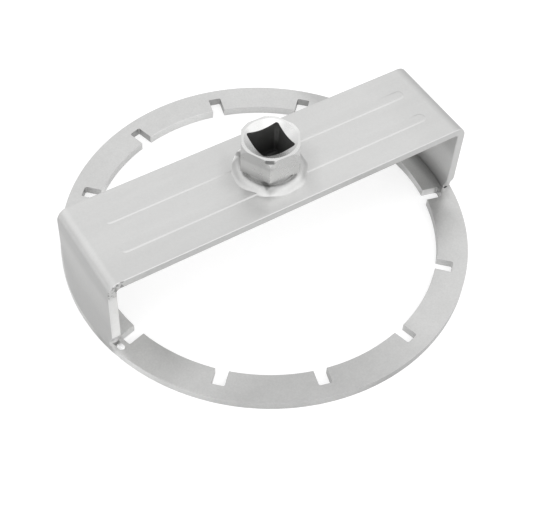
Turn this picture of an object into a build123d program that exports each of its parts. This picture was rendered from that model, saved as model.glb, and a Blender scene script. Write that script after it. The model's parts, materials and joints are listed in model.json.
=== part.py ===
from build123d import *
import os
from math import asin, cos, degrees, radians, sqrt, tan

os.makedirs("parts", exist_ok=True)

# Fuel tank lock ring wrench: a notched steel ring, a folded bridge and a welded drive boss.
# The origin is the centre of the ring on its flat underside. X runs along the bridge, Z up to the drive.
# Lengths are in millimetres and angles in degrees.

# Ring cut from plate
ring_inner_radius = 65.7
ring_band_width = 11.65
ring_thickness = 3.35
ring_edge_chamfer = 0.2

# Notches in the ring's inner edge, which fit over the lugs of the lock ring
notch_count = 12
notch_width = 5.75
notch_depth = 6.6
notch_corner_radius = 0.6
notch_first_angle = 15.0

# Slots in the ring that take the feet of the bridge
slot_rim_width = 1.15
slot_end_clearance = 0.35
slot_clocking = 1.45

# Bridge folded from one strip of sheet
bridge_width = 38.2
bridge_height = 38.2
sheet_thickness = 3.35
bend_inner_radius = 1.4
bridge_edge_chamfer = 0.25

# Feet of the bridge, narrower than the strip
foot_width = 34.6
shoulder_rise = 5.65
foot_straight_rise = 1.6
shoulder_radius = 1.15
tongue_length = 2.3
tongue_clearance = 0.1

# Ribs pressed up in the top of the bridge
rib_count = 2
rib_pitch = 13.85
rib_width = 4.8
rib_length = 129.0
rib_height = 0.5
rib_wall_slope = 50.0

# Drive boss
neck_radius = 10.0
neck_height = 4.2
hex_sides = 6
hex_across_flats = 20.65
hex_height = 10.7
hex_rim_radius = 10.8
hex_chamfer_angle = 65.3
drive_square = 12.8
drive_corner_radius = 1.0
countersink_radius = 9.65
countersink_angle = 28.0

# Weld bead round the boss
bead_outer_radius = 14.0
bead_crest_radius = 12.2
bead_height = 1.9

# Places that follow from the sizes above
ring_outer_radius = ring_inner_radius + ring_band_width
bridge_top = bridge_height
bridge_underside = bridge_height - sheet_thickness
bend_outer_radius = bend_inner_radius + sheet_thickness
bend_start = bridge_height - bend_outer_radius
half_width = bridge_width / 2
half_foot = foot_width / 2
leg_outer_x = sqrt(ring_outer_radius**2 - half_width**2)
leg_inner_x = leg_outer_x - sheet_thickness
leg_inner_radius = ring_outer_radius - sheet_thickness
shoulder_height = ring_thickness + shoulder_rise
slot_outer_radius = ring_outer_radius - slot_rim_width
slot_inner_radius = leg_inner_radius - tongue_clearance
slot_width = slot_outer_radius - slot_inner_radius
slot_mid_radius = slot_outer_radius - slot_width / 2
tongue_width = foot_width - slot_width
slot_end_angle = degrees(slot_width / 2 / slot_mid_radius)
foot_angle = degrees(asin(half_foot / slot_mid_radius))
slot_angle = foot_angle + degrees(slot_end_clearance / slot_mid_radius) + slot_clocking
notch_bottom_radius = ring_inner_radius + notch_depth
hex_corner_radius = hex_across_flats / 2 / cos(radians(180 / hex_sides))
hex_base = bridge_top + neck_height
hex_top = hex_base + hex_height


# Ring: a flat annulus with the notches and the two foot slots cut through it
with BuildPart() as lock_ring:
    with BuildSketch():
        Circle(ring_outer_radius)
        Circle(ring_inner_radius, mode=Mode.SUBTRACT)
    extrude(amount=ring_thickness)
    chamfer(lock_ring.edges().filter_by(GeomType.CIRCLE), ring_edge_chamfer)
    with BuildSketch() as notches:
        with PolarLocations(ring_inner_radius, notch_count, notch_first_angle):
            Rectangle(2 * notch_depth, notch_width)
        outer_corners = [v for v in notches.vertices() if Vector(v).length > notch_bottom_radius]
        fillet(outer_corners, notch_corner_radius)
    extrude(amount=ring_thickness, mode=Mode.SUBTRACT)
    with BuildSketch():
        for side_angle in (0, 180):
            slot_line = CenterArc(
                (0, 0),
                slot_mid_radius,
                side_angle + slot_clocking - slot_angle + slot_end_angle,
                2 * (slot_angle - slot_end_angle),
            )
            SlotArc(slot_line, slot_width)
    extrude(amount=ring_thickness, mode=Mode.SUBTRACT)

lock_ring.part.label = "lock_ring"
export_step(lock_ring.part, "parts/lock_ring.step")


# Bridge: a strip with a tight straight bend at each end, whose legs are rolled to the ring's curve
with BuildPart() as bridge:
    with BuildSketch(Plane.XZ):
        with BuildLine():
            top_line = Line((0, bridge_top), (leg_outer_x - bend_outer_radius, bridge_top))
            outer_bend = JernArc(top_line @ 1, top_line % 1, bend_outer_radius, -90)
            bend_edge = Line(outer_bend @ 1, (leg_inner_x, bend_start))
            inner_bend = JernArc(bend_edge @ 1, (0, 1), bend_inner_radius, 90)
            under_line = Line(inner_bend @ 1, (0, bridge_underside))
            Line(under_line @ 1, top_line @ 0)
        make_face()
    extrude(amount=half_width, both=True)

    # A leg is flat where it leaves the bend and follows the ring's edge where it stands on it
    with BuildSketch(Plane.XY.offset(bend_start)):
        with BuildLine():
            Polyline(
                (leg_outer_x, -half_width),
                (leg_outer_x, half_width),
                (leg_inner_x, half_width),
                (leg_inner_x, -half_width),
                close=True,
            )
        make_face()
    with BuildSketch(Plane.XY.offset(ring_thickness)):
        with BuildLine():
            leg_side_x = sqrt(leg_inner_radius**2 - half_width**2)
            ThreePointArc((leg_outer_x, -half_width), (ring_outer_radius, 0), (leg_outer_x, half_width))
            Line((leg_outer_x, half_width), (leg_side_x, half_width))
            ThreePointArc((leg_side_x, half_width), (leg_inner_radius, 0), (leg_side_x, -half_width))
            Line((leg_side_x, -half_width), (leg_outer_x, -half_width))
        make_face()
    loft(ruled=True)
    mirror(about=Plane.YZ)

    # The strip's outline seen from its end, with the corners of the feet cut away
    with BuildSketch(Plane.YZ) as end_outline:
        with BuildLine():
            Polyline(
                (-half_width, bridge_top),
                (half_width, bridge_top),
                (half_width, shoulder_height),
                (half_foot, ring_thickness + foot_straight_rise),
                (half_foot, ring_thickness),
                (-half_foot, ring_thickness),
                (-half_foot, ring_thickness + foot_straight_rise),
                (-half_width, shoulder_height),
                close=True,
            )
        make_face()
        shoulders = end_outline.vertices().group_by(Axis.Y)[1:3]
        fillet(shoulders[0] + shoulders[1], shoulder_radius)
    extrude(amount=ring_outer_radius, both=True, mode=Mode.INTERSECT)

    # Break the sheared edges along both sides of the strip
    side_faces = bridge.faces().filter_by(GeomType.PLANE).filter_by(Axis.Y)
    long_edges = [e for f in side_faces for e in f.edges() if e.center().Z > shoulder_height]
    chamfer(long_edges, bridge_edge_chamfer)

    # Tongues that pass down into the slots of the ring
    with BuildSketch(Plane.XY.offset(ring_thickness)):
        Circle(slot_outer_radius - tongue_clearance)
        Circle(leg_inner_radius, mode=Mode.SUBTRACT)
        Rectangle(2 * ring_outer_radius, tongue_width, mode=Mode.INTERSECT)
    extrude(amount=-tongue_length)

    # Ribs: each stands up from the top face of the sheet, over a hollow of the same form in its underside
    with BuildSketch(Plane.XY.offset(bridge_top)):
        with GridLocations(0, rib_pitch, 1, rib_count):
            SlotOverall(rib_length, rib_width)
    extrude(amount=rib_height, taper=rib_wall_slope)
    with BuildSketch(Plane.XY.offset(bridge_underside)):
        with GridLocations(0, rib_pitch, 1, rib_count):
            SlotOverall(rib_length, rib_width)
    extrude(amount=rib_height, taper=rib_wall_slope, mode=Mode.SUBTRACT)

bridge.part.label = "bridge"
export_step(bridge.part, "parts/bridge.step")


# Drive boss: a hexagon on a round neck, with a square socket and a countersunk mouth
with BuildPart() as drive_hex:
    with BuildSketch(Plane.XY.offset(bridge_top)):
        Circle(neck_radius)
    extrude(amount=neck_height)
    with BuildSketch(Plane.XY.offset(hex_base)):
        RegularPolygon(hex_across_flats / 2, hex_sides, major_radius=False)
    extrude(amount=hex_height)

    # The chamfer leaves a round rim and takes the corners of the hexagon down at a steep slope
    with BuildSketch(Plane.XZ):
        with BuildLine():
            chamfer_drop = (hex_corner_radius - hex_rim_radius) * tan(radians(hex_chamfer_angle))
            Polyline(
                (0, bridge_top),
                (hex_corner_radius, bridge_top),
                (hex_corner_radius, hex_top - chamfer_drop),
                (hex_rim_radius, hex_top),
                (0, hex_top),
                close=True,
            )
        make_face()
    revolve(axis=Axis.Z, mode=Mode.INTERSECT)

    # The socket is as deep as the boss: the bridge closes it below
    with BuildSketch(Plane.XY.offset(bridge_top)):
        RectangleRounded(drive_square, drive_square, drive_corner_radius)
    extrude(amount=neck_height + hex_height, mode=Mode.SUBTRACT)
    with BuildSketch(Plane.XZ):
        with BuildLine():
            Polyline(
                (0, hex_top),
                (countersink_radius, hex_top),
                (0, hex_top - countersink_radius * tan(radians(countersink_angle))),
                close=True,
            )
        make_face()
    revolve(axis=Axis.Z, mode=Mode.SUBTRACT)

    # Its foot is let out over the ribs
    add(bridge.part, mode=Mode.SUBTRACT)

drive_hex.part.label = "drive_hex"
export_step(drive_hex.part, "parts/drive_hex.step")


# Weld bead: a low roll of metal in the corner between the neck and the bridge, over the ribs
with BuildPart() as hex_weld_bead:
    with BuildSketch(Plane.XZ):
        with BuildLine():
            Polyline(
                (bead_crest_radius, bridge_top + bead_height),
                (0, bridge_top + bead_height),
                (0, bridge_top),
                (bead_outer_radius, bridge_top),
            )
            RadiusArc(
                (bead_outer_radius, bridge_top),
                (bead_crest_radius, bridge_top + bead_height),
                -bead_height,
            )
        make_face()
    revolve(axis=Axis.Z)
    with BuildSketch(Plane.XY.offset(bridge_top)):
        Circle(neck_radius)
    extrude(amount=bead_height, mode=Mode.SUBTRACT)
    add(bridge.part, mode=Mode.SUBTRACT)

hex_weld_bead.part.label = "hex_weld_bead"
export_step(hex_weld_bead.part, "parts/hex_weld_bead.step")


# Welds under the feet, which fill the slots flush with the underside of the ring
for side, side_angle in (("right", 0), ("left", 180)):
    with BuildPart() as leg_weld:
        with BuildSketch():
            weld_line = CenterArc(
                (0, 0),
                slot_mid_radius,
                side_angle - foot_angle + slot_end_angle,
                2 * (foot_angle - slot_end_angle),
            )
            SlotArc(weld_line, slot_width)
        extrude(amount=ring_thickness - tongue_length)

    leg_weld.part.label = f"leg_weld_{side}"
    export_step(leg_weld.part, f"parts/leg_weld_{side}.step")
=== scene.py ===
import json
import math

import bmesh
import bpy
import numpy as np
from mathutils import Matrix, Vector


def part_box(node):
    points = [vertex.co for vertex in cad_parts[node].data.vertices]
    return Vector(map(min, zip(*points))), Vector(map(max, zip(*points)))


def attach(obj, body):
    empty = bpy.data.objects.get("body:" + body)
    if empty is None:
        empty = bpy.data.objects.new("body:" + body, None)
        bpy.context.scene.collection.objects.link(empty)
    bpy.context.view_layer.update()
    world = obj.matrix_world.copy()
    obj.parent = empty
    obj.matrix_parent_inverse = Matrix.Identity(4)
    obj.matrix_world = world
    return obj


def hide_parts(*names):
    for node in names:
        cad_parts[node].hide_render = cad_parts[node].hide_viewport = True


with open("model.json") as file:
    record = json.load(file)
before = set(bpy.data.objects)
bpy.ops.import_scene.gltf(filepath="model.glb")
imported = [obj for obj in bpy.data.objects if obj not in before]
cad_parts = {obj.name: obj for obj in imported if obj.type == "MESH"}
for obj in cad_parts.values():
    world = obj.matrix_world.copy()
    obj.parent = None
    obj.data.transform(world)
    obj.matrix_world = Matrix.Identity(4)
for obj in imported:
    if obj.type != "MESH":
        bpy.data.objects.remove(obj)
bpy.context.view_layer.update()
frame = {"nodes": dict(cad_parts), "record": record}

# Fuel tank lock ring wrench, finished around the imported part. Lengths are in metres, or in mm where noted.
mm = 0.001

ringLow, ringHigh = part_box("lock_ring")
bridgeLow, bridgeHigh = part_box("bridge")
hexLow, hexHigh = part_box("drive_hex")
mounts = {m["name"]: m for m in frame["record"]["mounts"]}


def inMm(length):
    # a length of the frame in mm, without the noise in its last digits
    return round(length / mm, 3)


# mesh helpers

def addObject(name, data):
    piece = bpy.data.objects.new(name, data)
    bpy.context.scene.collection.objects.link(piece)
    return piece


def meshObject(name, points, faces):
    mesh = bpy.data.meshes.new(name)
    mesh.from_pydata([tuple(p) for p in points], [], faces)
    return addObject(name, mesh)


def cleanMesh(piece, weldDistance):
    work = bmesh.new()
    work.from_mesh(piece.data)
    bmesh.ops.remove_doubles(work, verts=work.verts, dist=weldDistance)
    bmesh.ops.dissolve_degenerate(work, edges=work.edges, dist=weldDistance)
    bmesh.ops.recalc_face_normals(work, faces=work.faces)
    work.to_mesh(piece.data)
    work.free()


def shadeSmooth(piece, sharpAngle):
    for face in piece.data.polygons:
        face.use_smooth = True
    piece.data.set_sharp_from_angle(angle=math.radians(sharpAngle))


def freeze(piece):
    # the evaluated result becomes a plain mesh, and no modifier is left
    graph = bpy.context.evaluated_depsgraph_get()
    graph.update()
    evaluated = piece.evaluated_get(graph)
    result = bpy.data.meshes.new_from_object(evaluated, preserve_all_data_layers=True, depsgraph=graph)
    piece.modifiers.clear()
    piece.data = result
    result.name = piece.name
    return piece


def softenEdges(piece, width, segments, sharpAngle):
    bevel = piece.modifiers.new("edge", "BEVEL")
    bevel.width = width
    bevel.segments = segments
    bevel.limit_method = "ANGLE"
    bevel.angle_limit = math.radians(sharpAngle)
    bevel.harden_normals = True
    bevel.use_clamp_overlap = True
    shadeSmooth(piece, sharpAngle)
    return freeze(piece)


def giveMaterials(piece, material, second, isSecond):
    # isSecond says for each face, in their order, whether it takes the second material
    piece.data.materials.append(material)
    piece.data.materials.append(second)
    for face, takesSecond in zip(piece.data.polygons, isSecond):
        face.material_index = 1 if takesSecond else 0


# node helpers

def newMaterial(name):
    material = bpy.data.materials.new(name)
    material.use_nodes = True
    tree = material.node_tree
    return material, tree, tree.nodes["Principled BSDF"]


def wire(tree, kind, inputs=(), **settings):
    # adds a node, and links or sets each input by name or place
    node = tree.nodes.new(kind)
    for key, value in settings.items():
        setattr(node, key, value)
    for key, value in dict(inputs).items():
        if isinstance(value, bpy.types.NodeSocket):
            tree.links.new(value, node.inputs[key])
        elif isinstance(value, list):
            for one in value:
                tree.links.new(one, node.inputs[key])
        else:
            node.inputs[key].default_value = value
    return node.outputs


def mathOf(tree, operation, first, second=0.0):
    return wire(tree, "ShaderNodeMath", {0: first, 1: second}, operation=operation)["Value"]


def vectorOf(tree, x=0.0, y=0.0, z=0.0):
    return wire(tree, "ShaderNodeCombineXYZ", {"X": x, "Y": y, "Z": z})["Vector"]


def scaled(tree, vector, factor):
    return wire(tree, "ShaderNodeVectorMath", {0: vector, "Scale": factor}, operation="SCALE")["Vector"]


def rampOf(tree, source, low, high, start=0.0, end=1.0):
    # low where the source is at start, high where it is at end, and held beyond both
    return wire(tree, "ShaderNodeMapRange", {
        "Value": source, "From Min": start, "From Max": end, "To Min": low, "To Max": high,
    })["Result"]


def stepsOf(tree, source, steps):
    # straight lines through (place, value) steps
    first, last = steps[0][0], steps[-1][0]
    highest = max(value for place, value in steps)
    curve = tree.nodes.new("ShaderNodeValToRGB")
    stops = curve.color_ramp.elements
    while len(stops) < len(steps):
        stops.new(0.5)                  # anywhere, as its place is set below
    for stop, (place, value) in zip(stops, steps):
        stop.position = (place - first) / (last - first)
        stop.color = (value / highest, value / highest, value / highest, 1)
    tree.links.new(rampOf(tree, source, 0.0, 1.0, first, last), curve.inputs["Fac"])
    return mathOf(tree, "MULTIPLY", curve.outputs["Color"], highest)


# geometry node helpers

def newTree(name, sizes):
    tree = bpy.data.node_groups.new(name, "GeometryNodeTree")
    tree.interface.new_socket("Geometry", in_out="OUTPUT", socket_type="NodeSocketGeometry")
    tree.interface.new_socket("Material", in_out="INPUT", socket_type="NodeSocketMaterial")
    for key, value in sizes.items():
        kind = "NodeSocketInt" if isinstance(value, int) else "NodeSocketFloat"
        tree.interface.new_socket(key, in_out="INPUT", socket_type=kind)
    start = tree.nodes.new("NodeGroupInput")
    end = tree.nodes.new("NodeGroupOutput")
    return tree, start.outputs, end


def moved(tree, geometry, **moves):
    return wire(tree, "GeometryNodeTransform", dict(moves, Geometry=geometry))["Geometry"]


def realized(tree, geometry):
    return wire(tree, "GeometryNodeRealizeInstances", {"Geometry": geometry})["Geometry"]


def finishTree(tree, end, geometry, start):
    finished = wire(tree, "GeometryNodeSetMaterial",
                    {"Geometry": realized(tree, geometry), "Material": start["Material"]})["Geometry"]
    tree.links.new(finished, end.inputs["Geometry"])


def runTree(name, tree, sizes, material):
    piece = meshObject(name, [], [])
    modifier = piece.modifiers.new("made", "NODES")
    modifier.node_group = tree
    identifiers = {s.name: s.identifier for s in tree.interface.items_tree if s.in_out == "INPUT"}
    for key, value in sizes.items():
        modifier[identifiers[key]] = value
    modifier[identifiers["Material"]] = material
    return freeze(piece)


# lock ring: an annulus with twelve square notches inside and an arc slot under each foot

ringSizes = {
    "outer radius": ringHigh[0],
    "inner radius": mounts["ring_bore"]["dims"]["r_mm"] * mm,
    "thickness": ringHigh[2] - ringLow[2],
    "notch count": 12,
    "notch width": 4.85 * mm,
    "notch depth": 6.6 * mm,
    "notch corner": 0.6 * mm,
    "first notch": math.radians(15),
    "notch shift X": -0.1 * mm,         # the notches stand a little off the ring's centre
    "notch shift Y": 0.45 * mm,
    "slot middle": 75.05 * mm,
    "slot width": 2.3 * mm,
    "slot angle": math.radians(14.2),   # half the slot, without its round ends
    "slot turn": math.radians(1.45),
    "circle steps": 360,                # how finely round forms are divided
    "corner steps": 5,
    "slot steps": 48,
}


def ringTree():
    tree, start, end = newTree("notchedRing", ringSizes)
    thick = start["thickness"]
    middle = mathOf(tree, "MULTIPLY", thick, 0.5)
    through = mathOf(tree, "MULTIPLY", thick, 3.0)      # cutters stand well out of both faces
    taller = mathOf(tree, "MULTIPLY", thick, 4.0)       # a slot's ends reach past the slot's own cutter

    def disc(radius, height, lift):
        body = wire(tree, "GeometryNodeMeshCylinder",
                    {"Vertices": start["circle steps"], "Radius": radius, "Depth": height})["Mesh"]
        return moved(tree, body, Translation=vectorOf(tree, z=lift))

    def rectangle(width, height):
        sides = {"Width": width, "Height": height}
        return wire(tree, "GeometryNodeCurvePrimitiveQuadrilateral", sides)["Curve"]

    def swept(path, profile):
        return wire(tree, "GeometryNodeCurveToMesh",
                    {"Curve": path, "Profile Curve": profile, "Fill Caps": True})["Mesh"]

    plate = disc(start["outer radius"], thick, middle)
    bore = disc(start["inner radius"], through, middle)

    # one cutter with rounded corners, repeated round the inner edge
    upright = wire(tree, "GeometryNodeCurvePrimitiveLine", {
        "Start": vectorOf(tree, z=mathOf(tree, "MULTIPLY", thick, -1.0)),
        "End": vectorOf(tree, z=mathOf(tree, "MULTIPLY", thick, 2.0)),
    })["Curve"]
    outline = rectangle(mathOf(tree, "MULTIPLY", start["notch depth"], 2.0), start["notch width"])
    rounded = wire(tree, "GeometryNodeFilletCurve", {
        "Curve": outline, "Radius": start["notch corner"], "Count": start["corner steps"],
        "Limit Radius": True,
    }, mode="POLY")["Curve"]
    spots = wire(tree, "GeometryNodeMeshCircle",
                 {"Vertices": start["notch count"], "Radius": start["inner radius"]})["Mesh"]
    index = wire(tree, "GeometryNodeInputIndex")["Index"]
    step = mathOf(tree, "DIVIDE", 2 * math.pi, start["notch count"])
    turn = vectorOf(tree, z=mathOf(tree, "MULTIPLY", index, step))
    notches = wire(tree, "GeometryNodeInstanceOnPoints",
                   {"Points": spots, "Instance": swept(upright, rounded), "Rotation": turn})["Instances"]
    firstTurn = vectorOf(tree, z=start["first notch"])
    shift = vectorOf(tree, start["notch shift X"], start["notch shift Y"])
    notches = moved(tree, notches, Rotation=firstTurn, Translation=shift)

    # an arc slot with round ends, and its twin across the ring
    slotStart = mathOf(tree, "SUBTRACT", start["slot turn"], start["slot angle"])
    slotSweep = mathOf(tree, "MULTIPLY", start["slot angle"], 2.0)

    def slotLine(steps):
        return wire(tree, "GeometryNodeCurveArc", {
            "Resolution": steps, "Radius": start["slot middle"],
            "Start Angle": slotStart, "Sweep Angle": slotSweep,
        })["Curve"]

    slot = swept(slotLine(start["slot steps"]), rectangle(start["slot width"], through))
    endDisc = disc(mathOf(tree, "MULTIPLY", start["slot width"], 0.5), taller, 0.0)
    # an arc of two points has one at each end of the slot
    slotEnds = wire(tree, "GeometryNodeInstanceOnPoints",
                    {"Points": slotLine(2), "Instance": endDisc})["Instances"]
    slots = []
    for part in (slot, slotEnds):
        slots += [part, moved(tree, part, Rotation=(0, 0, math.pi))]

    cutters = [realized(tree, cutter) for cutter in [bore, notches] + slots]
    cut = wire(tree, "GeometryNodeMeshBoolean", {"Mesh 1": plate, "Mesh 2": cutters},
               operation="DIFFERENCE", solver="EXACT")["Mesh"]
    finishTree(tree, end, cut, start)
    return tree


def makeRing(material):
    ring = runTree("ring_plate", ringTree(), ringSizes, material)
    cleanMesh(ring, weldDistance=0.002 * mm)
    return softenEdges(ring, width=0.22 * mm, segments=3, sharpAngle=28)


# bridge: one strip followed from foot to foot, with the ribs pressed through both its faces

# all lengths here are in mm
bridgeSpec = {
    "width": inMm(bridgeHigh[1] - bridgeLow[1]), "height": inMm(hexLow[2]), "sheet": 3.35,
    "bendRadius": 4.75, "edgeRadius": 0.3,
    "ringRadius": inMm(ringHigh[0]), "ringThickness": inMm(ringHigh[2] - ringLow[2]),
    # the feet, with straight sides up to footStraight and the strip's full width from shoulderHeight
    "footWidth": 34.6, "footStraight": 4.95, "shoulderHeight": 9.0, "shoulderEase": 0.4025,
    "easeReach": 1.5,                   # how far above the shoulder its eased corner reaches
    # the ribs, with a steep front side and a soft rear side; pairs give the front and the rear rib
    "ribPitch": 13.85, "ribLength": 129.0, "ribWidth": 4.8, "ribHeight": 0.28,
    "ribWall": 0.85, "ribBack": 3.8,
    "ribShort": (0.4, 1.5),             # how much shorter the left ends are
    "ribEndReach": (5.0, 10.0),         # how far the steep right ends reach
    "ribEndWall": 1.1,
    # the tongues, thinner ends of the feet that go down into the ring's slots
    "slotRim": 1.15, "tongueClearance": 0.1, "tongueInset": 1.15,
    "tongueBottom": 1.05, "tongueOverlap": 0.3,
}
# how finely each stretch of the strip is divided
bridgeSteps = {
    "flat": 24, "ribTip": 28, "bend": 19, "leg": 22, "foot": 30, "tongue": 24,
    "edge": 5, "side": 5, "margin": 9,  # rounded edges, cut sides, and the flat between ribs and edge
    "wall": 8, "wallReach": 20,         # steps over a rib's steep wall, carried on inwards
    "tipLength": 5.0, "tipPast": 0.4,   # mm with closer stations, before and past the end of a rib
    "gap": 1.5,                         # mm left free before the bend and beside the ribs
}


def smoothStep(x):
    x = min(max(x, 0.0), 1.0)
    return x * x * (3 - 2 * x)


def ribRise(x, y):
    # steep in front and eased down gently behind, but steep all round at the right end
    s = bridgeSpec
    ribHalf = s["ribWidth"] / 2
    highest = 0.0
    for side, short, reach in zip((-1, 1), s["ribShort"], s["ribEndReach"]):
        half = (s["ribLength"] - s["ribWidth"]) / 2 - (short if x < 0 else 0)
        across = y - side * s["ribPitch"] / 2
        front = ribHalf - math.hypot(max(abs(x) - half, 0.0), min(across, 0.0))
        back = ribHalf - across
        inside = ribHalf - math.hypot(max(x - half, 0.0), across)
        soft = smoothStep(front / s["ribWall"]) * smoothStep(back / s["ribBack"])
        steep = smoothStep(inside / s["ribEndWall"])
        share = smoothStep((x - half + reach) / reach)
        highest = max(highest, soft + (steep - soft) * share)
    return s["ribHeight"] * highest


def footHalfWidth(z):
    # full width down to the shoulder, then drawn in to the foot, with both corners eased
    s = bridgeSpec
    full, foot = s["width"] / 2, s["footWidth"] / 2
    ease = s["shoulderEase"] ** 2 / 4
    slope = (full - foot) / (s["shoulderHeight"] - s["footStraight"])
    straight = foot + (z - s["footStraight"]) * slope
    upper = full - 0.5 * (full - straight + math.sqrt((full - straight) ** 2 + ease))
    return foot + 0.5 * (upper - foot + math.sqrt((upper - foot) ** 2 + ease))


def stripStation(kind, value):
    # half the strip's width at a station, and a function for its outer and inner point at any y
    s = bridgeSpec
    halfWidth = s["width"] / 2
    outerX = math.sqrt(s["ringRadius"] ** 2 - halfWidth ** 2)
    bend = s["bendRadius"]
    if kind == "top":
        return halfWidth, lambda y: ((value, s["height"]), (value, s["height"] - s["sheet"]))
    if kind == "bend":
        centreX, centreZ = outerX - bend, s["height"] - bend
        across, up = math.sin(value), math.cos(value)
        outer = (centreX + bend * across, centreZ + bend * up)
        inner = (centreX + (bend - s["sheet"]) * across, centreZ + (bend - s["sheet"]) * up)
        return halfWidth, lambda y: (outer, inner)
    z = value
    blend = (s["height"] - bend - z) / (s["height"] - bend - s["ringThickness"])

    def legPoints(y):
        # flat under the bend, and in step with the ring's curve where it stands on the ring
        outerArc = math.sqrt(s["ringRadius"] ** 2 - y * y)
        innerArc = math.sqrt((s["ringRadius"] - s["sheet"]) ** 2 - y * y)
        outer = outerX + (outerArc - outerX) * blend
        inner = outerX - s["sheet"] + (innerArc - outerX + s["sheet"]) * blend
        return (outer, z), (inner, z)

    return (footHalfWidth(z) if z < s["shoulderHeight"] + s["easeReach"] else halfWidth), legPoints


def stripStations():
    # (kind, value) pairs from the middle of the bridge down to its right foot
    s, n = bridgeSpec, bridgeSteps
    bendStart = s["height"] - s["bendRadius"]
    flatEnd = math.sqrt(s["ringRadius"] ** 2 - (s["width"] / 2) ** 2) - s["bendRadius"]
    ribEnd = s["ribLength"] / 2
    tipStart = ribEnd - n["tipLength"]
    legEnd = s["shoulderHeight"] + s["easeReach"]
    flat = list(np.linspace(0, tipStart, n["flat"]))
    flat += list(np.linspace(tipStart, ribEnd + n["tipPast"], n["ribTip"]))[1:]
    flat += [flatEnd - n["gap"]]
    leg = list(np.linspace(bendStart, legEnd, n["leg"]))[1:]
    leg += list(np.linspace(legEnd, s["ringThickness"], n["foot"]))[1:]
    bend = np.linspace(0, math.pi / 2, n["bend"])
    return [("top", x) for x in flat] + [("bend", a) for a in bend] + [("leg", z) for z in leg]


def sectionLoop():
    # (place across the strip, depth below the outer face, how far round the edge) for a closed loop
    s, n = bridgeSpec, bridgeSteps
    half, r, sheet = s["width"] / 2, s["edgeRadius"], s["sheet"]
    centre, ribHalf = s["ribPitch"] / 2, s["ribWidth"] / 2
    across = [0.0]
    for edge, inward in ((centre - ribHalf, 1), (centre + ribHalf, -1)):
        across += [edge + inward * s["ribWall"] * k / n["wall"] for k in range(-1, n["wallReach"])]
    across += list(np.linspace(centre + ribHalf + n["gap"], half - r, n["margin"]))[:-1]
    across = sorted(set(round(a, 5) for a in across)) + [half - r]
    across = [-a for a in reversed(across[1:])] + across
    quarter = np.linspace(0, math.pi / 2, n["edge"])
    flat = [(a, 0.0, 0.0) for a in across]
    roundTop = [(half - r, r - r * math.cos(a), r * math.sin(a)) for a in quarter[1:]]
    side = [(half - r, depth, r) for depth in np.linspace(r, sheet - r, n["side"])[1:-1]]
    roundLow = [(half - r, sheet - r + r * math.sin(a), r * math.cos(a)) for a in quarter]
    rightEdge = roundTop + side + roundLow
    under = [(a, sheet, 0.0) for a in reversed(across[1:-1])]
    leftEdge = [(-a, depth, -out) for a, depth, out in reversed(rightEdge)]
    return flat + rightEdge + under + leftEdge


def stripPoint(kind, value, side, section):
    # the place of one point of the section at a station, on the right (1) or the left (-1)
    s = bridgeSpec
    halfWidth, pointsAt = stripStation(kind, value)
    across, depth, out = section
    r = s["edgeRadius"]
    y = across * (halfWidth - r) / (s["width"] / 2 - r) + out
    (x0, z0), (x1, z1) = pointsAt(min(max(y, -halfWidth), halfWidth))
    share = depth / s["sheet"]
    x, z = x0 + (x1 - x0) * share, z0 + (z1 - z0) * share
    if kind == "top":
        z += ribRise(x * side, y)
    return Vector((x * side, y, z)) * mm


def addTongue(points, faces, side):
    s, steps = bridgeSpec, bridgeSteps["tongue"]
    outer = s["ringRadius"] - s["slotRim"] - s["tongueClearance"]
    inner = s["ringRadius"] - s["sheet"]
    half = s["footWidth"] / 2 - s["tongueInset"]
    first = len(points)
    # four points at each step: the top and bottom of the inner side, then of the outer side
    for k in range(steps + 1):
        y = -half + 2 * half * k / steps
        for radius in (inner, outer):
            x = side * math.sqrt(radius ** 2 - y * y)
            for z in (s["ringThickness"] + s["tongueOverlap"], s["tongueBottom"]):
                points.append(Vector((x, y, z)) * mm)
    for k in range(steps):
        a, b = first + 4 * k, first + 4 * (k + 1)
        for i, j in ((0, 1), (1, 3), (3, 2), (2, 0)):
            faces.append((a + i, a + j, b + j, b + i))
    last = first + 4 * steps
    faces.append((first, first + 2, first + 3, first + 1))
    faces.append((last, last + 1, last + 3, last + 2))


def makeBridge(material, edgeMaterial):
    half = stripStations()
    stations = [(kind, value, -1) for kind, value in reversed(half)][:-1]
    stations += [(kind, value, 1) for kind, value in half]
    loop = sectionLoop()
    count = len(loop)
    points = [stripPoint(kind, value, side, section) for kind, value, side in stations for section in loop]
    faces, isCut = [], []
    for i in range(len(stations) - 1):
        here, onward = i * count, (i + 1) * count
        for j in range(count):
            k = (j + 1) % count
            faces.append((here + j, here + k, onward + k, onward + j))
            isCut.append(loop[j][2] != 0.0 and loop[k][2] != 0.0)
    faces.append(tuple(range(count)))
    faces.append(tuple(reversed(range((len(stations) - 1) * count, len(stations) * count))))
    for side in (-1, 1):
        addTongue(points, faces, side)
    bridge = meshObject("bridge_strip", points, faces)
    giveMaterials(bridge, material, edgeMaterial, isCut)
    cleanMesh(bridge, weldDistance=0.001 * mm)
    shadeSmooth(bridge, sharpAngle=40)
    return bridge


# drive boss: loops round the axis, from the neck up over the rim and down the square socket

# lengths in mm and angles in degrees
bossSpec = {
    "flats": 20.65, "neckRadius": 10.0, "neckHeight": 4.2, "rimRadius": 10.8, "chamfer": 65.3,
    "square": 12.8, "squareCorner": 1.0, "sinkRadius": 9.65, "sinkAngle": 28.0, "edge": 0.16,
    "centre": (-0.25, 0.18), "turn": -2.0, "steps": 360,
}


def squareRadius(angle):
    # distance from the axis to a square with rounded corners, at this angle
    s = bossSpec
    half, corner = s["square"] / 2, s["squareCorner"]
    c, d = abs(math.cos(angle)), abs(math.sin(angle))
    flat = half / max(c, d)
    if flat * min(c, d) <= half - corner:
        return flat
    centre = half - corner
    b = centre * (c + d)
    return b + math.sqrt(b * b - 2 * centre * centre + corner * corner)


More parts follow.
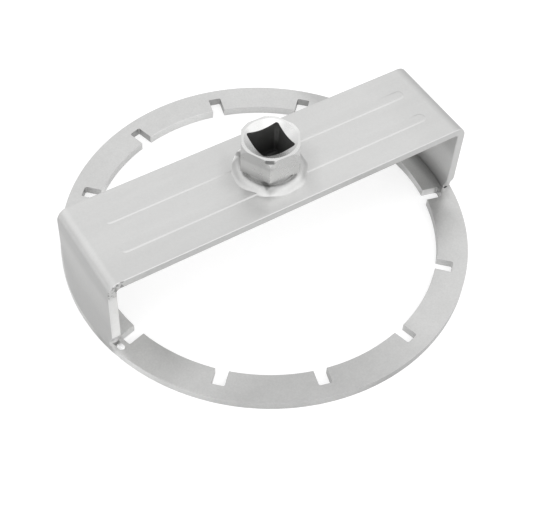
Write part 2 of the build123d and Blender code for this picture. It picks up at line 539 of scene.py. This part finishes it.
def makeBoss(material, shadedMaterial):
    s = bossSpec
    low, high = hexLow[2] / mm, hexHigh[2] / mm
    hexFoot = low + s["neckHeight"]
    slope, sinkSlope = math.tan(math.radians(s["chamfer"])), math.tan(math.radians(s["sinkAngle"]))
    steps = s["steps"]
    points, faces, isShaded = [], [], []
    for k in range(steps):
        angle = 2 * math.pi * k / steps
        flat = s["flats"] / 2 / math.cos((angle % (math.pi / 3)) - math.pi / 6)
        rim = min(flat, s["rimRadius"])
        drop = max(flat - s["rimRadius"], 0.0) * slope
        square = squareRadius(angle)
        sink = (s["sinkRadius"] - square) * sinkSlope
        loop = [
            (s["neckRadius"], low), (s["neckRadius"], hexFoot), (flat, hexFoot),
            (flat, high - drop), (rim, high), (s["sinkRadius"], high),
            (square, high - sink), (square, low),
        ]
        turned = angle + math.radians(s["turn"])
        for radius, z in loop:
            x, y = radius * math.cos(turned) + s["centre"][0], radius * math.sin(turned) + s["centre"][1]
            points.append(Vector((x, y, z)) * mm)
    count = len(loop)
    for k in range(steps):
        here, onward = k * count, (k + 1) % steps * count
        for j in range(count):
            i = (j + 1) % count
            faces.append((here + j, onward + j, onward + i, here + i))
            isShaded.append(j >= count - 2)   # the wall of the socket, and the underside, in the darker steel of painted shade
    boss = meshObject("drive_boss", points, faces)
    giveMaterials(boss, material, shadedMaterial, isShaded)
    cleanMesh(boss, weldDistance=0.004 * mm)
    return softenEdges(boss, width=s["edge"] * mm, segments=3, sharpAngle=20)


# weld bead: flat beside the neck, then run out to the bridge in a soft curve with uneven lobes

beadSizes = {
    "inner radius": 9.8 * mm,
    "shoulder radius": 13.0 * mm,
    "hollow radius": 12.7 * mm,
    "outer radius": 14.9 * mm,
    "inner height": 2.2 * mm,
    "shoulder height": 2.9 * mm,
    "sunk": 0.1 * mm,
    "lobe size": 0.28 * mm,
    "lobe count": 10,
    "lobe drift": 5.0,                  # how strongly the wander moves the lobes round the boss
    "wander size": 0.45 * mm,
    "wander scale": 80.0,
    "wander detail": 1.0,
    "rear angle": math.radians(54.2),   # the bead is narrower and lower on this side
    "rear spread": 0.4,
    "rear trim": 1.1 * mm,
    "rear drop": 0.45,
    "base": hexLow[2],
    "seed": 3.0,
    "path radius": 1.0,                 # only carries the sweep, and is taken off again
    "path steps": 300,
    "profile steps": 24,
}


def beadTree():
    tree, start, end = newTree("weldBead", beadSizes)
    path = wire(tree, "GeometryNodeMeshCircle",
                {"Vertices": start["path steps"], "Radius": start["path radius"]})["Mesh"]
    flatPath = wire(tree, "GeometryNodeMeshToCurve", {"Mesh": path})["Curve"]

    # the profile lies in its own plane: radius along X, height along Y
    below = mathOf(tree, "MULTIPLY", start["sunk"], -1.0)
    innerTop = vectorOf(tree, start["inner radius"], start["inner height"])
    crown = wire(tree, "GeometryNodeCurvePrimitiveBezierSegment", {
        "Resolution": start["profile steps"],
        "Start": innerTop,
        "Start Handle": vectorOf(tree, start["shoulder radius"], start["shoulder height"]),
        "End Handle": vectorOf(tree, start["hollow radius"], below),
        "End": vectorOf(tree, start["outer radius"], below),
    }, mode="POSITION")["Curve"]
    wall = wire(tree, "GeometryNodeCurvePrimitiveLine",
                {"Start": vectorOf(tree, start["inner radius"], below), "End": innerTop})["Curve"]
    profile = wire(tree, "GeometryNodeJoinGeometry", {"Geometry": [wall, crown]})["Geometry"]
    swept = wire(tree, "GeometryNodeCurveToMesh", {"Curve": flatPath, "Profile Curve": profile})["Mesh"]
    merged = wire(tree, "GeometryNodeMergeByDistance",
                  {"Geometry": swept, "Distance": 0.001 * mm})["Geometry"]

    # the sweep adds the path's own radius, which is taken off again here
    position = wire(tree, "GeometryNodeInputPosition")["Position"]
    split = wire(tree, "ShaderNodeSeparateXYZ", {"Vector": position})
    level = vectorOf(tree, split["X"], split["Y"])
    reach = wire(tree, "ShaderNodeVectorMath", {0: level}, operation="LENGTH")["Value"]
    outward = wire(tree, "ShaderNodeVectorMath", {0: level}, operation="NORMALIZE")["Vector"]
    radius = mathOf(tree, "ABSOLUTE", mathOf(tree, "SUBTRACT", reach, start["path radius"]))

    # lobes swell the outside of the bead, and leave its inside against the boss
    noise = wire(tree, "ShaderNodeTexNoise", {
        "Vector": scaled(tree, outward, start["outer radius"]), "W": start["seed"],
        "Scale": start["wander scale"], "Detail": start["wander detail"],
    }, noise_dimensions="4D")["Fac"]
    wander = mathOf(tree, "SUBTRACT", noise, 0.5)
    angle = mathOf(tree, "ARCTAN2", split["Y"], split["X"])
    phase = mathOf(tree, "ADD", mathOf(tree, "MULTIPLY", angle, start["lobe count"]),
                   mathOf(tree, "MULTIPLY", wander, start["lobe drift"]))
    lobe = mathOf(tree, "MULTIPLY", mathOf(tree, "SINE", phase), start["lobe size"])
    wanderWidth = mathOf(tree, "MULTIPLY", start["wander size"], 2.0)
    swell = mathOf(tree, "ADD", lobe, mathOf(tree, "MULTIPLY", wander, wanderWidth))

    # how far a point belongs to the rear side, where less swell and less height is kept
    rear = mathOf(tree, "COSINE", mathOf(tree, "SUBTRACT", angle, start["rear angle"]))
    rear = mathOf(tree, "MAXIMUM", mathOf(tree, "ADD", rear, start["rear spread"]), 0.0)
    swell = mathOf(tree, "SUBTRACT", swell, mathOf(tree, "MULTIPLY", rear, start["rear trim"]))
    share = mathOf(tree, "DIVIDE", mathOf(tree, "SUBTRACT", radius, start["inner radius"]),
                   mathOf(tree, "SUBTRACT", start["outer radius"], start["inner radius"]))
    squared = mathOf(tree, "MULTIPLY", share, share)
    grown = mathOf(tree, "ADD", radius, mathOf(tree, "MULTIPLY", swell, squared))
    kept = mathOf(tree, "SUBTRACT", 1.0, mathOf(tree, "MULTIPLY", rear, start["rear drop"]))
    height = mathOf(tree, "SUBTRACT", start["base"], mathOf(tree, "MULTIPLY", split["Z"], kept))
    place = wire(tree, "ShaderNodeVectorMath",
                 {0: scaled(tree, outward, grown), 1: vectorOf(tree, z=height)}, operation="ADD")["Vector"]
    formed = wire(tree, "GeometryNodeSetPosition", {"Geometry": merged, "Position": place})["Geometry"]
    finishTree(tree, end, formed, start)
    return tree


def makeBead(material):
    bead = runTree("boss_weld", beadTree(), beadSizes, material)
    # the underside is closed between the two edges left open by the sweep
    work = bmesh.new()
    work.from_mesh(bead.data)
    openEdges = [e for e in work.edges if e.is_boundary]
    bmesh.ops.bridge_loops(work, edges=openEdges)
    bmesh.ops.recalc_face_normals(work, faces=work.faces)
    work.to_mesh(bead.data)
    work.free()
    shadeSmooth(bead, sharpAngle=50)
    return bead


# floor, light and camera

studio = {
    "floorSize": 4.0, "floorDrop": 0.05 * mm, "floorTone": 0.52, "floorRough": 0.9, "floorGlow": 0.58,
    # the floor as reflections see it: a faint glow all over, and spots of (place and reach in mm, glow)
    "mirrorGlow": 0.25,
    "spots": [
        ((-45, 18, 0), 35, 1.25),
        ((-72.5, -19.5, 0), 3.5, 0.45),
        ((66.5, -16.5, 0), 5, 0.35),
        ((62, -6, 0), 8, 0.2),
    ],
    "spotCore": 0.35,                   # the share of a spot's reach that has its full glow
    # how bright the sky is at each height, from the horizon (0) to overhead (1)
    "sky": [(0.0, 0.58), (0.2, 0.72), (0.36, 0.98), (0.5, 1.1), (0.72, 1.12), (0.84, 0.97), (1.0, 0.98)],
    # what the side behind the camera adds, by Y of the direction
    "skyFront": [(-0.9, 0.45), (-0.5, 0.3), (-0.22, 0.45), (0.15, 0.0)],
    "skySide": -0.06,                   # what the left adds, and the right takes away
}
lampSpec = {"place": (-0.22, -0.305, 1.03), "aim": (0, 0, 0), "size": 0.75, "power": 0.5}
# angles in degrees, and lengths in mm but for the nearest distance that is drawn
cameraSpec = {
    "azimuth": -35.81, "elevation": 51.78, "roll": 4.47, "distance": 452.4,
    "right": 4.43, "up": -9.07, "lens": 77.17, "sensor": 36, "nearest": 0.01,
}


def makeFloor():
    size, low = studio["floorSize"], -studio["floorDrop"]
    corners = [(-size, -size, low), (size, -size, low), (size, size, low), (-size, size, low)]
    floor = meshObject("floor", corners, [(0, 1, 2, 3)])
    material, tree, shader = newMaterial("floorPaper")
    tone = studio["floorTone"]
    shader.inputs["Base Color"].default_value = (tone, tone, tone, 1)
    shader.inputs["Roughness"].default_value = studio["floorRough"]
    shader.inputs["Specular IOR Level"].default_value = 0.0
    ray = wire(tree, "ShaderNodeLightPath")
    seen = mathOf(tree, "MULTIPLY", ray["Is Camera Ray"], studio["floorGlow"])
    coords = wire(tree, "ShaderNodeTexCoord")["Object"]
    shine = studio["mirrorGlow"]
    for place, reach, glow in studio["spots"]:
        centre = Vector(place) * mm
        apart = wire(tree, "ShaderNodeVectorMath", {0: coords, 1: centre}, operation="DISTANCE")["Value"]
        spot = rampOf(tree, apart, glow, 0.0, reach * studio["spotCore"] * mm, reach * mm)
        shine = mathOf(tree, "ADD", spot, shine)
    mirrored = mathOf(tree, "MULTIPLY", ray["Is Glossy Ray"], shine)
    shader.inputs["Emission Color"].default_value = (1, 1, 1, 1)
    tree.links.new(mathOf(tree, "ADD", seen, mirrored), shader.inputs["Emission Strength"])
    floor.data.materials.append(material)


def makeWorld():
    world = bpy.data.worlds.new("studio")
    bpy.context.scene.world = world
    world.use_nodes = True
    tree = world.node_tree
    background = tree.nodes["Background"]
    coords = wire(tree, "ShaderNodeTexCoord")["Generated"]
    split = wire(tree, "ShaderNodeSeparateXYZ", {"Vector": coords})
    # dim at the horizon and brightest half way up, with a lighter side behind the camera
    height = stepsOf(tree, split["Z"], studio["sky"])
    front = stepsOf(tree, split["Y"], studio["skyFront"])
    side = rampOf(tree, split["X"], studio["skySide"], -studio["skySide"], -1.0, 1.0)
    level = mathOf(tree, "ADD", mathOf(tree, "ADD", height, front), side)
    # the camera itself sees plain white
    seen = wire(tree, "ShaderNodeLightPath")["Is Camera Ray"]
    strength = wire(tree, "ShaderNodeMix",
                    {"Factor": seen, "A": level, "B": 1.0}, data_type="FLOAT")["Result"]
    tree.links.new(strength, background.inputs["Strength"])
    background.inputs["Color"].default_value = (1, 1, 1, 1)


def makeLamp():
    lamp = bpy.data.lights.new("overheadBox", "AREA")
    lamp.shape = "RECTANGLE"
    lamp.size = lampSpec["size"]
    lamp.size_y = lampSpec["size"]
    lamp.energy = lampSpec["power"]
    holder = addObject("overheadBox", lamp)
    place, aim = Vector(lampSpec["place"]), Vector(lampSpec["aim"])
    holder.location = place
    holder.rotation_euler = (aim - place).to_track_quat("-Z", "Y").to_euler()


def makeCamera():
    c = cameraSpec
    azimuth, elevation, roll = (math.radians(c[key]) for key in ("azimuth", "elevation", "roll"))
    away = math.cos(elevation)
    back = Vector((math.sin(azimuth) * away, -math.cos(azimuth) * away, math.sin(elevation)))
    right = Vector((math.cos(azimuth), math.sin(azimuth), 0))
    up = back.cross(right)
    target = (right * c["right"] + up * c["up"]) * mm
    turnedRight = right * math.cos(roll) + up * math.sin(roll)
    turnedUp = up * math.cos(roll) - right * math.sin(roll)
    data = bpy.data.cameras.new("photoView")
    data.lens = c["lens"]
    data.sensor_width = c["sensor"]
    data.clip_start = c["nearest"]
    camera = addObject("photoView", data)
    turn = Matrix((turnedRight, turnedUp, back)).transposed().to_4x4()
    camera.matrix_world = Matrix.Translation(target + back * c["distance"] * mm) @ turn
    bpy.context.scene.camera = camera


# steel finish shared by the pieces, with its own grain, tone and roughness on each, and patches of painted
# light and shade

noiseSpec = {
    "low": 0.3, "high": 0.7,                # nearly all values of a noise lie between these
    "patchStart": 0.48, "patchFull": 0.6,   # where in its noise a broken patch starts and is whole
    "cloudDetail": 4, "speckDetail": 2, "grainDetail": 3, "patchDetail": 2, "waveDetail": 1,
    "fineRough": 0.6,                       # how rough the noises of the specks and the grain are
    "grainRough": 0.02,                     # how far the grain moves the roughness of the steel
}


def noiseAt(tree, coords, scale, detail, rough=0.5, stretch=(1, 1, 1)):
    mapped = wire(tree, "ShaderNodeMapping", {"Vector": coords, "Scale": stretch})["Vector"]
    return wire(tree, "ShaderNodeTexNoise",
                {"Vector": mapped, "Scale": scale, "Detail": detail, "Roughness": rough})["Fac"]


def hexReach(tree, coords):
    # how far a point lies from the axis, measured square to the nearest side of the boss
    furthest = 0.0
    for k in range(3):
        angle = math.radians(30 + 60 * k + bossSpec["turn"])
        square = (math.cos(angle), math.sin(angle), 0)
        along = wire(tree, "ShaderNodeVectorMath", {0: coords, 1: square}, operation="DOT_PRODUCT")["Value"]
        furthest = mathOf(tree, "MAXIMUM", mathOf(tree, "ABSOLUTE", along), furthest)
    return furthest


def boxMask(tree, coords, ranges):
    # one inside a box of (axis, start, full) ranges in mm, and fading to zero from full to start;
    # the axis is X, Y or Z, or hex for hexReach, or round for the distance from the origin
    split = wire(tree, "ShaderNodeSeparateXYZ", {"Vector": coords})
    mask = 1.0
    for axis, start, full in ranges:
        if axis == "hex":
            place = hexReach(tree, coords)
        elif axis == "round":
            place = wire(tree, "ShaderNodeVectorMath", {0: coords}, operation="LENGTH")["Value"]
        else:
            place = split[axis]
        mask = mathOf(tree, "MULTIPLY", rampOf(tree, place, 0.0, 1.0, start * mm, full * mm), mask)
    return mask


def steelMaterial(name, look):
    material, tree, shader = newMaterial(name)
    coords = wire(tree, "ShaderNodeTexCoord")["Object"]
    shader.inputs["Metallic"].default_value = look["metal"]
    n = noiseSpec

    def swing(noise, amount, middle=0.0):
        # swings by the amount to each side of the middle
        return rampOf(tree, noise, middle - amount, middle + amount, n["low"], n["high"])

    # broad cloudy tone, and the fine sparkle and grain of the plated surface
    cloud = noiseAt(tree, coords, look["cloudScale"], n["cloudDetail"])
    speck = noiseAt(tree, coords, look["speckScale"], n["speckDetail"], n["fineRough"])
    grain = noiseAt(tree, coords, look["grainScale"], n["grainDetail"], n["fineRough"],
                    look["grainStretch"])
    tone = mathOf(tree, "ADD", swing(cloud, look["cloud"]), swing(speck, look["speck"]))
    tone = mathOf(tree, "ADD", tone, swing(grain, look["grain"]))
    tone = mathOf(tree, "ADD", tone, 1.0)
    for depth, scale, ranges in look["paintedShadingAndMarks"]:
        # painted shade or dark marks (above 0) or painted light (below 0), as patches whole or broken up by
        # a noise of the given scale
        patch = mathOf(tree, "MULTIPLY", boxMask(tree, coords, ranges), -depth)
        if scale:
            broken = noiseAt(tree, coords, scale, n["patchDetail"])
            spots = rampOf(tree, broken, 0.0, 1.0, n["patchStart"], n["patchFull"])
            patch = mathOf(tree, "MULTIPLY", patch, spots)
        tone = mathOf(tree, "MULTIPLY", tone, mathOf(tree, "ADD", patch, 1.0))
    tree.links.new(scaled(tree, look["colour"], tone), shader.inputs["Base Color"])

    # roughness follows the cloud and the grain
    rough = mathOf(tree, "ADD", swing(cloud, look["roughSpread"]),
                   swing(grain, n["grainRough"], look["rough"]))
    tree.links.new(rough, shader.inputs["Roughness"])

    # low waves of the sheet under the fine grain
    waves = noiseAt(tree, coords, look["waveScale"], n["waveDetail"])
    wavy = wire(tree, "ShaderNodeBump",
                {"Strength": 1.0, "Distance": look["wave"], "Height": waves})["Normal"]
    fine = mathOf(tree, "ADD", grain, speck)
    bumpy = wire(tree, "ShaderNodeBump",
                 {"Strength": 1.0, "Distance": look["bump"], "Height": fine, "Normal": wavy})["Normal"]
    tree.links.new(bumpy, shader.inputs["Normal"])
    return material


# ranges that several patches of painted shade and light share, in mm like all of them
bridgeTop = ("Z", 36, 37)
legInside = ("X", 74.8, 74.3)       # keeps painted shade off the right leg's outer face
cutFront = ("Y", -18.5, -19)
ringWalls = ("Z", 3.3, 3.1)         # below the ring's top face
ringInside = ("round", 73.6, 73.2)  # the bore and the notches
ringOutside = ("round", 77.0, 77.2)

sheetLook = {
    "colour": (0.605, 0.605, 0.6), "metal": 0.75, "rough": 0.4, "roughSpread": 0.03,
    "cloudScale": 28.0, "cloud": 0.02, "speckScale": 1400.0, "speck": 0.02,
    "grainScale": 260.0, "grainStretch": (0.12, 1, 1), "grain": 0.02,
    "wave": 0.05 * mm, "waveScale": 35.0, "bump": 0.004 * mm,
    # each patch of painted shade or light, or mark, is (depth, noise scale or 0, ranges)
    "paintedShadingAndMarks": [
        # inside of the right leg: painted shade at its foot and bend, and painted light between
        (0.3, 0, [("X", 69, 73), legInside, ("Z", 11, 4)]),
        (-0.12, 0, [("X", 69, 71), legInside, ("Z", 10, 14), ("Z", 26, 20)]),
        (0.14, 0, [("X", 69, 71), legInside, ("Z", 22, 28)]),
        # floor of the socket, painted shade
        (0.92, 0, [("X", -9, -8.5), ("X", 9, 8.5), ("Y", -9, -8.5), ("Y", 9, 8.5), bridgeTop]),
        # left bend, a painted highlight along its top and painted shade under it
        (-0.11, 0, [("X", -70.8, -72), ("Z", 34.9, 36.2)]),
        (0.11, 0, [("X", -72.2, -73.6), ("Z", 36.2, 35), ("Z", 27, 31)]),
        # outside of the left leg, painted shade growing downwards and strongest at the rear
        (0.08, 0, [("X", -73, -74.9), ("Z", 24, 15)]),
        (0.08, 0, [("X", -73, -74.9), ("Y", 0, 15), ("Z", 26, 15)]),
        # top of the bridge, painted shade on its front left part and its right end
        (0.05, 0, [("X", 10, -5), ("Y", -4, -12), bridgeTop]),
        (0.05, 0, [("X", 50, 62), bridgeTop]),
        # right bend, painted shade
        (0.16, 0, [("X", 72.5, 75.5), ("Z", 31, 34)]),
        # round the weld, painted light in front and painted shade on the right and the left
        (-0.22, 0, [("hex", 19, 15), ("X", -20, -14), ("X", 7, -2), ("Y", -9.5, -11.5), bridgeTop]),
        (0.09, 0, [("hex", 19, 14), ("X", 5, 9), bridgeTop]),
        (0.09, 0, [("hex", 19, 14.5), ("X", -9, -13), ("Y", -5, -1), bridgeTop]),
    ],
}
cutLook = dict(
    sheetLook, metal=1.0, colour=(0.66, 0.66, 0.655), rough=0.34, grainStretch=(1, 1, 1), wave=0.0,
    paintedShadingAndMarks=[
        # right half, a little darker with painted shade
        (0.05, 0, [("X", 10, 30), ("X", 73, 70)]),
        # front edge of the left leg, with painted light, and dark broken-up spots at its bend
        (-0.28, 0, [("X", -70, -71.5), cutFront, ("Z", 33, 30)]),
        (0.5, 900, [("X", -67.5, -69.5), cutFront, ("Z", 31.3, 32.5)]),
    ],
)
plateLook = dict(
    sheetLook, metal=1.0, colour=(0.6, 0.6, 0.595), rough=0.36, grainStretch=(1, 1, 1),
    cloudScale=45.0, cloud=0.035, speck=0.04,
    paintedShadingAndMarks=[
        # right side of the ring: painted shade at the foot, painted light on the top inside it, and painted
        # shade all along
        (0.42, 0, [("X", 69, 73), ("Y", -20, -14), ("Y", 20, 16)]),
        (-0.4, 0, [("X", 71, 66), ("X", 50, 60), ("Y", -29, -20), ("Y", 29, 20), ("Z", 3.1, 3.3)]),
        (0.16, 0, [("X", 50, 56), ("X", 70, 66), ("Y", -42, -27)]),
        # inner walls, painted light but for painted shade in the notches at the back, with painted light on
        # the bore strongest at the back
        (-0.22, 0, [ringInside, ringWalls]),
        (0.3, 0, [("round", 66.3, 66.5), ringInside, ringWalls, ("Y", -10, 0)]),
        (-0.16, 0, [("round", 66.3, 66.1), ("X", 20, 8), ("X", -20, -10), ("Y", 20, 30)]),
        # outer wall, painted light at the front left and under the left foot, but painted shade under the
        # slot's end
        (-0.27, 0, [ringOutside, ("X", 2, -12), ("Y", -12, -30), ringWalls]),
        (-0.25, 0, [ringOutside, ("X", -60, -70), ("Y", -9, -2), ("Y", 17, 10), ringWalls]),
        (0.25, 0, [ringOutside, ("X", -60, -70), ("Y", -9, -12), ("Y", -21, -18), ringWalls]),
        # top, painted shade at the front left and painted light beside the left foot
        (0.18, 0, [("X", 24, -2), ("Y", -46, -60)]),
        (-0.15, 0, [("X", -60, -66), ("Y", -40, -28), ("Y", -9, -14)]),
        # dark broken-up spots beside the right foot, and painted shade in the end of the notch there
        (0.5, 900, [("X", 67.4, 68.2), ("X", 71, 70), ("Y", -18.8, -18), ("Y", -15.4, -16.2)]),
        (0.35, 0, [("round", 71.2, 71.5), ringInside, ("X", 62, 66),
                   ("Y", -26, -22), ("Y", -10, -14), ringWalls]),
        # walls of the slot's open end beside the left foot, painted light
        (-0.5, 0, [("X", -70.6, -71.2), ("round", 76.9, 76.6),
                   ("Y", -23, -22), ("Y", -10, -14), ringWalls]),
    ],
)
bossLook = dict(
    sheetLook, metal=1.0, colour=(0.68, 0.68, 0.675), rough=0.3, grainStretch=(1, 1, 1),
    grain=0.005, speck=0.005, wave=0.0, bump=0.0015 * mm,
    paintedShadingAndMarks=[
        # neck on the left, painted light, and painted shade at the foot of the side above it
        (-0.3, 0, [("Z", 42.4, 42.2), ("X", -6, -9)]),
        (0.32, 0, [("X", -6.2, -6.6), ("Y", 1, 0), ("Z", 45.6, 42.4)]),
        # upper part, painted light on the right and painted shade on the left
        (-0.17, 0, [("X", 2, 5), ("Y", -3, 0), ("Z", 48, 49)]),
        (0.14, 0, [("X", -4.5, -6), ("Z", 48, 49), ("Z", 53.05, 52.9)]),
        # facet of the chamfer at the front corner, painted light, with a dark line over it
        (-0.14, 0, [("Y", -8.2, -8.8), ("X", -8.1, -7.2), ("X", -4.2, -5.1),
                    ("Z", 49.3, 50.2), ("Z", 51.9, 51.6)]),
        (0.66, 0, [("Y", -7.7, -8.2), ("X", -9.4, -8.8), ("X", -4.6, -5.3),
                   ("Z", 51.5, 52.0), ("Z", 53.1, 52.95)]),
    ],
)
weldLook = dict(
    sheetLook, colour=(0.6, 0.6, 0.595), rough=0.42, grainStretch=(1, 1, 1), speck=0.03, wave=0.0,
    paintedShadingAndMarks=[
        # painted shade under the left half of the boss, darkest at its front corner
        (0.38, 0, [("hex", 12.4, 11.1), ("X", -11.5, -9), ("X", 4, -1)]),
        (0.45, 0, [("X", -8.1, -7.5), ("X", -5.7, -6.3), ("Y", -10.3, -9.7)]),
        # painted shade on the right, painted light at the rear left
        (0.18, 0, [("X", 5, 8), ("Y", 7, 4)]),
        (-0.5, 0, [("X", -12, -10), ("X", -3, -5), ("Y", 8, 9.5)]),
    ],
)
# the socket's wall and the boss's underside: a darker copy of the boss steel, as painted shade
socketLook = dict(
    bossLook, colour=(0.4, 0.4, 0.395), rough=0.5,
    paintedShadingAndMarks=[
        # painted shade growing towards the floor, with a painted highlight down the back corner
        (0.4, 0, [("Z", 46, 40)]),
        (-0.6, 0, [("X", 5.2, 5.6), ("Y", 4.7, 5.1), ("Z", 42, 44), ("Z", 51, 49)]),
    ],
)

print("camera, floor and light")
makeCamera()
makeFloor()
makeWorld()
makeLamp()

print("finishes")
plateSteel = steelMaterial("plateSteel", plateLook)
sheetSteel = steelMaterial("sheetSteel", sheetLook)
cutSteel = steelMaterial("cutSteel", cutLook)
bossSteel = steelMaterial("bossSteel", bossLook)
weldSteel = steelMaterial("weldSteel", weldLook)
socketSteel = steelMaterial("socketSteel", socketLook)

print("lock ring")
ring = makeRing(plateSteel)
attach(ring, "root")
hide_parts("lock_ring")

print("bridge")
bridge = makeBridge(sheetSteel, cutSteel)
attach(bridge, "root")
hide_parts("bridge")

print("drive boss")
boss = makeBoss(bossSteel, socketSteel)
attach(boss, "root")
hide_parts("drive_hex")

print("welds")
bead = makeBead(weldSteel)
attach(bead, "root")
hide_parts("hex_weld_bead")
for name in ("leg_weld_left", "leg_weld_right"):
    weld = frame["nodes"][name]
    weld.data.materials.clear()
    weld.data.materials.append(weldSteel)

scene = bpy.context.scene
scene.view_settings.view_transform = "Standard"
